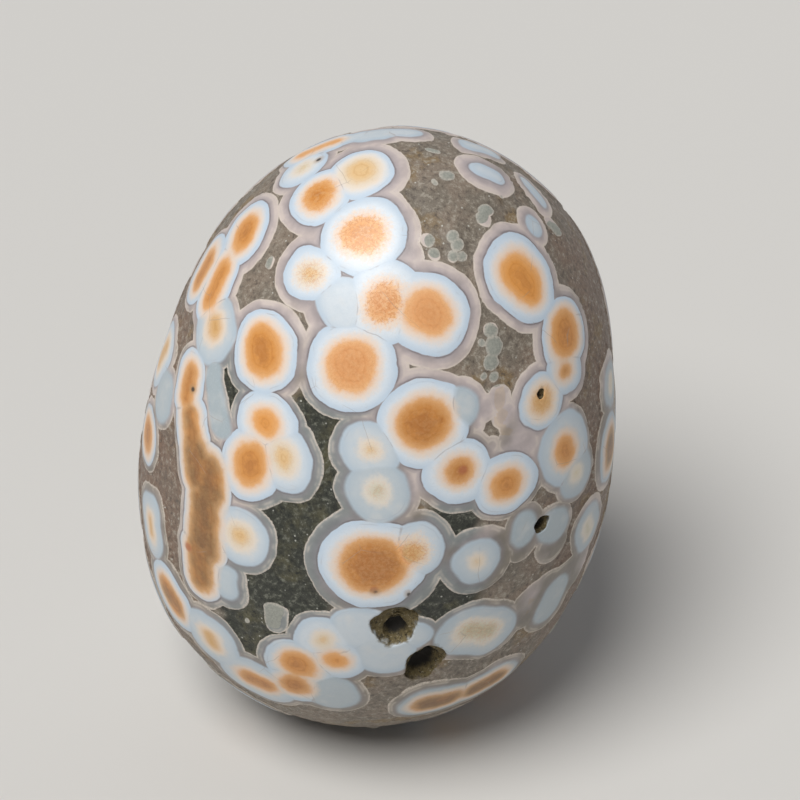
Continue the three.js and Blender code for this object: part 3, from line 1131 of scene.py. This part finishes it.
def agate_field(build):
    """All that the finish reads at a point"""
    place, warped = warped_place(build)
    met = met_growths(build, warped)
    tint, grain, shade = build.split(met["Kind"])
    fine = build.noise(place, FINE)
    middling = build.noise(place, MIDDLING)
    patchy = build.noise(place, PATCHY)
    crystals = build.noise(warped, CRYSTALS)
    lumps = build.times(build.minus(crystals, 0.5), grain)
    core = build.scaled(lumps, 1.9, met["Core"])
    core = build.scaled(build.minus(middling, 0.5), 0.45, core)
    drift = build.scaled(build.noise(warped, TINT_DRIFT), 0.45, -0.225)
    tint = build.scaled(build.ramp(tint, 0.80, 0.95), drift, tint)
    rich = build.ramp(tint, 0.40, 0.62)
    reaches = (core, met["White"], met["Next"], met["Halo"])
    return Field(place, warped, fine, middling, patchy, crystals, *reaches, tint, grain, shade, rich)


def tint_colour(build, tint):
    """A colour ramp with one stop for each tint"""
    made = build.node("ShaderNodeValToRGB", {"Fac": tint})
    ramp = made.color_ramp
    while len(ramp.elements) < len(TINT_COLOURS):
        ramp.elements.new(1.0)
    for element, (name, shown) in zip(ramp.elements, TINT_COLOURS.items()):
        element.position = TINTS[name]
        element.color = colour(shown)
    return made.outputs["Color"]


def ground_colour(build, place, colours):
    """Grained brown-grey ground with pale grains and painted glints, ochre and green-black in places"""
    fine = build.noise(place, GROUND_GRAINS)
    broad = build.noise(place, GROUND_PATCHES)
    other = build.noise(build.vector("ADD", place, OCHRE_SHIFT), OCHRE_PATCHES)
    brown = build.over(colours.ground, WARM_GROUND, build.ramp(broad, 0.40, 0.62))
    side = build.scaled(broad, 14.0, build.math("ABSOLUTE", build.split(place)[0]))
    brown = build.over(brown, RUSSET_GROUND, build.ramp(side, 19.0, 29.0), 0.8)
    brown = build.over(brown, colours.ochre, build.ramp(other, 0.56, 0.68), 0.7)
    brown = build.over(brown, colours.ground_pale, build.ramp(fine, 0.50, 0.66), 0.8)
    brown = build.over(brown, DARK_GRAINS, build.ramp(fine, 0.48, 0.34), 0.8)
    green = build.over(colours.ground_dark, OLIVE_GROUND, build.ramp(broad, 0.45, 0.70))
    green = build.over(green, GREEN_GRAINS, build.ramp(fine, 0.50, 0.72))
    green = build.over(green, BLACK_GRAINS, build.ramp(fine, 0.48, 0.36))
    wander = build.scaled(broad, 0.9, -0.45)
    wander = build.scaled(fine, 0.3, build.minus(wander, 0.15))
    dark = build.plus(build.attribute("dark_ground", "Fac"), wander)
    mixed = build.over(brown, green, build.ramp(dark, 0.30, 0.70))
    # Painted glints: rare bright neutral dots in the ground
    cells = build.node("ShaderNodeTexVoronoi", {"Vector": place, "Scale": GLINT_CELLS}, feature="F1")
    glint = build.minus(1.0, build.ramp(cells.outputs["Distance"], 0.06, 0.20))
    rare = build.ramp(build.noise(place, GLINT_PATCHES), 0.52, 0.60)
    return build.over(mixed, PAINTED_GLINTS, glint, rare, 0.75)


def core_colour(build, field):
    """A core with a pale edge, a darker middle, rings, mottles, sugary crystals and rust-red threads"""
    flat = tint_colour(build, field.tint)
    pale = build.mix(0.55, flat, build.mix(field.rich, PALE_CORE_EDGE, RICH_CORE_EDGE))
    core = build.over(flat, pale, build.ramp(field.core, -1.05, -0.1))
    shell = build.plus(field.core, build.scaled(field.middling, 1.6, -0.8))
    dark = build.tinted(flat, CORE_MIDDLE_TINT)
    core = build.over(core, dark, build.ramp(shell, -0.9, -1.9), build.ramp(field.tint, 0.50, 0.80))
    rings = build.noise(build.combine(field.core, 0.0, 0.0), CORE_RINGS)
    core = build.shaded(core, CORE_RING_TINT, build.ramp(rings, 0.50, 0.62), 0.35)
    core = build.shaded(core, MOTTLE_TINT, build.ramp(field.crystals, 0.52, 0.66), 0.3)
    core = build.over(core, PALE_CRYSTALS, build.ramp(field.crystals, 0.53, 0.42), field.grain, 0.45)
    threads = build.math("ABSOLUTE", build.minus(build.noise(field.warped, THREADS), 0.5))
    return build.over(core, RUST_THREADS, build.ramp(threads, 0.05, 0.0), field.grain, 0.75)


def white_colour(build, field, colours):
    """A bluish white ring, clouded and grained, grey and glassy in places, with a thin line near its edge"""
    white = build.over(colours.white, colours.blue, build.ramp(field.white, -1.1, 0.0))
    white = build.over(white, BLUE_CLOUDS, build.ramp(field.middling, 0.4, 0.7), 0.35)
    white = build.over(white, colours.glassy, build.times(field.shade, 0.8, clamp=True))
    white = build.over(white, WARM_CLOUDS, build.ramp(field.patchy, 0.5, 0.75), 0.3)
    white = build.over(white, GREY_GRAINS, build.ramp(field.fine, 0.50, 0.68), 0.22)
    line = build.ramp(build.math("ABSOLUTE", build.plus(field.white, 0.36)), 0.09, 0.02)
    return build.over(white, INNER_LINE, line, build.ramp(field.patchy, 0.50, 0.64), 0.4)


def eye_colour(build, field, colours):
    """A core that passes softly into its white"""
    core = core_colour(build, field)
    white = white_colour(build, field, colours)
    cream = build.mix(0.65, core, CREAM_PASSAGE)
    passage = build.over(white, cream, build.ramp(field.core, 0.95, 0.05), 0.85)
    soft = build.minus(1.0, field.rich)
    outside = build.scaled(soft, 0.2, 0.22)
    inside = build.scaled(soft, -0.2, -0.42)
    return build.over(passage, core, build.ramp(field.core, outside, inside))


def marked_eye(build, field, eye):
    """An eye with seams where two whites meet, hairline cracks, rust-red stains and dark specks"""
    seam = (
        build.ramp(build.minus(field.next, field.white), 0.16, 0.03),
        build.ramp(field.white, -0.05, -0.25),
        build.ramp(field.patchy, 0.50, 0.66),
        build.ramp(field.core, -0.2, 0.3),
    )
    eye = build.over(eye, SEAMS, *seam, 0.5)
    cells = build.node(
        "ShaderNodeTexVoronoi", {"Vector": field.warped, "Scale": CRACK_CELLS}, feature="DISTANCE_TO_EDGE"
    )
    cracked = build.ramp(build.noise(field.place, CRACK_PATCHES), 0.54, 0.62)
    eye = build.over(eye, CRACKS, build.ramp(cells.outputs["Distance"], 0.006, 0.001), cracked, 0.42)
    eye = build.over(eye, RUST_STAIN, build.ramp(build.attribute("red_stain", "Fac"), 0.2, 1.0), 0.75)
    off = build.vector("DISTANCE", field.warped, build.attribute("near_speck"))
    eye = build.over(eye, SPECK_EDGE, build.ramp(off, 0.75, 0.25), 0.5)
    return build.over(eye, SPECK_MIDDLE, build.ramp(off, 0.34, 0.14), 0.9)


def halo_colour(build, field, colours):
    """A halo or bud with its cream rim, lighter higher up and darker lower down as painted light and shade,
    and where the rim and the dark line around the white are
    """
    # Painted light and shade: halos pale higher up and dusky lower down, with a random drift over it
    drift = build.plus(build.noise(field.place, HALO_DRIFT), -0.33)
    height_light_and_drift = build.scaled(build.split(field.place)[2], 0.009, drift)
    clear = build.over(DUSKY_AND_SHADED_HALO, colours.halo, build.ramp(height_light_and_drift, 0.38, 0.62))
    clear = build.over(clear, GREEN_HALO, build.ramp(build.attribute("dark_ground", "Fac"), 0.1, 0.7))
    mauve = build.mix(0.42, clear, colours.halo_inner)
    halo = build.over(clear, mauve, build.ramp(field.white, 0.75, 0.05))
    halo = build.shaded(halo, HALO_CLOUD_TINT, build.ramp(field.middling, 0.4, 0.7), 0.4)
    inside = build.tinted(halo, HALO_INSIDE_TINT)
    outside = build.tinted(halo, HALO_OUTSIDE_TINT)
    halo = build.over(inside, outside, build.ramp(field.halo, -1.1, -0.1))
    halo = build.shaded(halo, HALO_SHADOW_TINT, build.ramp(field.patchy, 0.58, 0.40), 0.4)
    second = build.ramp(build.math("ABSOLUTE", build.plus(field.halo, 0.42)), 0.20, 0.02)
    broken = build.ramp(field.patchy, 0.45, 0.6)
    halo = build.over(halo, colours.rim, second, broken, build.ramp(field.shade, 1.5, 1.2), 0.4)
    halo = build.shaded(halo, BEIGE_TINT, build.ramp(field.shade, -0.2, -0.8))
    bud = build.ramp(field.shade, 1.3, 1.8)
    halo = build.over(halo, build.mix(build.ramp(field.fine, 0.3, 0.7), DARK_BUD, PALE_BUD), bud)
    rim = build.ramp(field.halo, build.times(field.patchy, -0.60), 0.0)
    rim = build.times(rim, build.ramp(field.fine, 0.2, 0.6))
    halo = build.over(halo, colours.rim, rim, build.scaled(bud, -0.45, 0.9))
    # Painted shade: a dark line in the groove just outside each white, broken by noise and fading on glassy
    # whites
    line = build.product(
        build.ramp(field.white, 0.24, 0.06),
        build.ramp(field.white, -0.04, 0.04),
        build.ramp(field.patchy, 0.35, 0.55),
        build.ramp(field.shade, 0.6, 0.1),
    )
    return build.over(halo, colours.line, line, 0.7), rim, line


def pitted_stone(build, field, stone):
    """The stone with lumpy ochre-brown crust in its pits and near-black painted shade in their deep holes"""
    uneven = build.minus(field.middling, 0.5)
    crust = build.mix(build.ramp(field.crystals, 0.36, 0.52), DARK_CRUST, OCHRE_CRUST)
    crust = build.over(crust, PALE_CRUST, build.ramp(field.fine, 0.56, 0.72))
    reach = build.scaled(uneven, 0.5, build.attribute("pit_reach", "Fac"))
    stone = build.over(stone, crust, build.ramp(reach, 1.16, 0.90))
    # Painted shade: near black laid over the deep holes
    deep = build.scaled(uneven, 0.6, build.attribute("pit_hole", "Fac"))
    return build.over(stone, PAINTED_HOLE_SHADE, build.ramp(deep, 0.25, 0.85))


def agate_material(colours):
    """Ground, halos, eyes and pits in their places, with the gloss and the finest relief of each"""
    material = bpy.data.materials.new(FINISH)
    material.use_nodes = True
    material.node_tree.nodes.clear()
    build = Build(material.node_tree)
    field = agate_field(build)

    ground = ground_colour(build, field.place, colours)
    halo, rim, line = halo_colour(build, field, colours)
    eye = marked_eye(build, field, eye_colour(build, field, colours))
    stone = build.over(ground, halo, build.ramp(field.halo, 0.05, -0.03))
    blur = build.scaled(build.times(field.shade, 1.0, clamp=True), 0.25, 0.05)
    stone = build.over(stone, eye, build.ramp(field.white, blur, build.times(blur, -1.0)))
    stone = pitted_stone(build, field, stone)

    on_ground = build.ramp(field.halo, -0.05, 0.05)
    in_pit = build.ramp(build.attribute("pit_reach", "Fac"), 1.1, 0.9)
    rough = build.scaled(on_ground, 0.10, 0.39)
    rough = build.scaled(build.minus(field.fine, 0.5), 0.12, rough)
    rough = build.scaled(in_pit, 0.4, rough)

    height = build.times(build.noise(field.place, GRIT), build.scaled(on_ground, 0.8, 0.2))
    height = build.scaled(rim, 0.35, height)
    height = build.scaled(build.noise(field.place, SOFT_BUMPS), 0.25, height)
    height = build.scaled(line, -0.3, height)
    inputs = {"Height": height, "Strength": BUMP_STRENGTH, "Distance": BUMP_HEIGHT}
    normal = build.node("ShaderNodeBump", inputs).outputs["Normal"]

    inputs = {"Base Color": stone, "Roughness": rough, "Normal": normal, "IOR": REFRACTION}
    shader = build.node("ShaderNodeBsdfPrincipled", inputs)
    build.node("ShaderNodeOutputMaterial", {"Surface": shader.outputs["BSDF"]})
    return material


def floor_material(colours):
    """Plain pale floor"""
    material = bpy.data.materials.new("studio_floor")
    material.use_nodes = True
    shader = material.node_tree.nodes["Principled BSDF"]
    shader.inputs["Base Color"].default_value = colour(colours.floor)
    shader.inputs["Roughness"].default_value = FLOOR_ROUGHNESS
    return material


def add_sun(name, toward, strength, softness, tint):
    """A soft light that comes from one side"""
    lamp = bpy.data.lights.new(name, "SUN")
    lamp.energy = strength
    lamp.angle = softness
    lamp.color = tint
    light = bpy.data.objects.new(name, lamp)
    bpy.context.scene.collection.objects.link(light)
    light.location = unit(toward)
    light.rotation_euler = unit(toward).to_track_quat("Z", "Y").to_euler()


class AGATE_OT_stage(bpy.types.Operator):
    """Set the pale floor, the soft light and the camera"""

    bl_idname = "agate.stage"
    bl_label = "Stage"

    def execute(self, context):
        scene = context.scene
        view = View(belly_place(scene.agate_sizes))

        floor_mesh = bpy.data.meshes.new("floor")
        made = bmesh.new()
        bmesh.ops.create_circle(made, cap_ends=True, segments=FLOOR_SIDES, radius=FLOOR_RADIUS)
        made.to_mesh(floor_mesh)
        made.free()
        floor_mesh.materials.append(floor_material(scene.agate_colours))
        floor = bpy.data.objects.new("floor", floor_mesh)
        scene.collection.objects.link(floor)

        add_sun("key", KEY_TOWARD, KEY_STRENGTH, KEY_SOFTNESS, KEY_COLOUR)
        add_sun("rim", RIM_TOWARD, RIM_STRENGTH, RIM_SOFTNESS, RIM_COLOUR)

        world = bpy.data.worlds.new("studio")
        world.use_nodes = True
        sky = world.node_tree.nodes["Background"]
        sky.inputs["Color"].default_value = colour(SKY_COLOUR)
        sky.inputs["Strength"].default_value = SKY_STRENGTH
        scene.world = world
        scene.view_settings.view_transform = "Standard"

        lens = bpy.data.cameras.new("camera")
        lens.sensor_width = SENSOR
        lens.lens = SENSOR * CAMERA_DISTANCE / (PHOTO_SIDE * PIXEL)
        lens.clip_start = NEAR_CLIP
        lens.clip_end = FAR_CLIP
        camera = bpy.data.objects.new("camera", lens)
        scene.collection.objects.link(camera)
        camera.location = view.place
        camera.rotation_euler = (-view.back).to_track_quat("-Z", "Y").to_euler()
        scene.camera = camera
        return {"FINISHED"}


class AGATE_PT_panel(bpy.types.Panel):
    """Steps and settings of the pebble"""

    bl_idname = "AGATE_PT_panel"
    bl_label = "Eye agate pebble"
    bl_space_type = "VIEW_3D"
    bl_region_type = "UI"
    bl_category = "Agate"

    def draw(self, context):
        for step in STEPS:
            self.layout.operator(step.bl_idname)
        for group in (context.scene.agate_sizes, context.scene.agate_colours):
            box = self.layout.box()
            for name in group.__annotations__:
                box.prop(group, name)


STEPS = (AGATE_OT_body, AGATE_OT_pits, AGATE_OT_eyes, AGATE_OT_relief, AGATE_OT_stage)
CLASSES = (AgateSizes, AgateColours, *STEPS, AGATE_PT_panel)


def register():
    for made in CLASSES:
        bpy.utils.register_class(made)
    bpy.types.Scene.agate_sizes = PointerProperty(type=AgateSizes)
    bpy.types.Scene.agate_colours = PointerProperty(type=AgateColours)


def unregister():
    del bpy.types.Scene.agate_colours
    del bpy.types.Scene.agate_sizes
    for made in reversed(CLASSES):
        bpy.utils.unregister_class(made)


def main():
    register()
    bpy.ops.agate.body()
    bpy.ops.agate.pits()
    bpy.ops.agate.eyes()
    bpy.ops.agate.relief()
    bpy.ops.agate.stage()


if __name__ == "__main__":
    main()
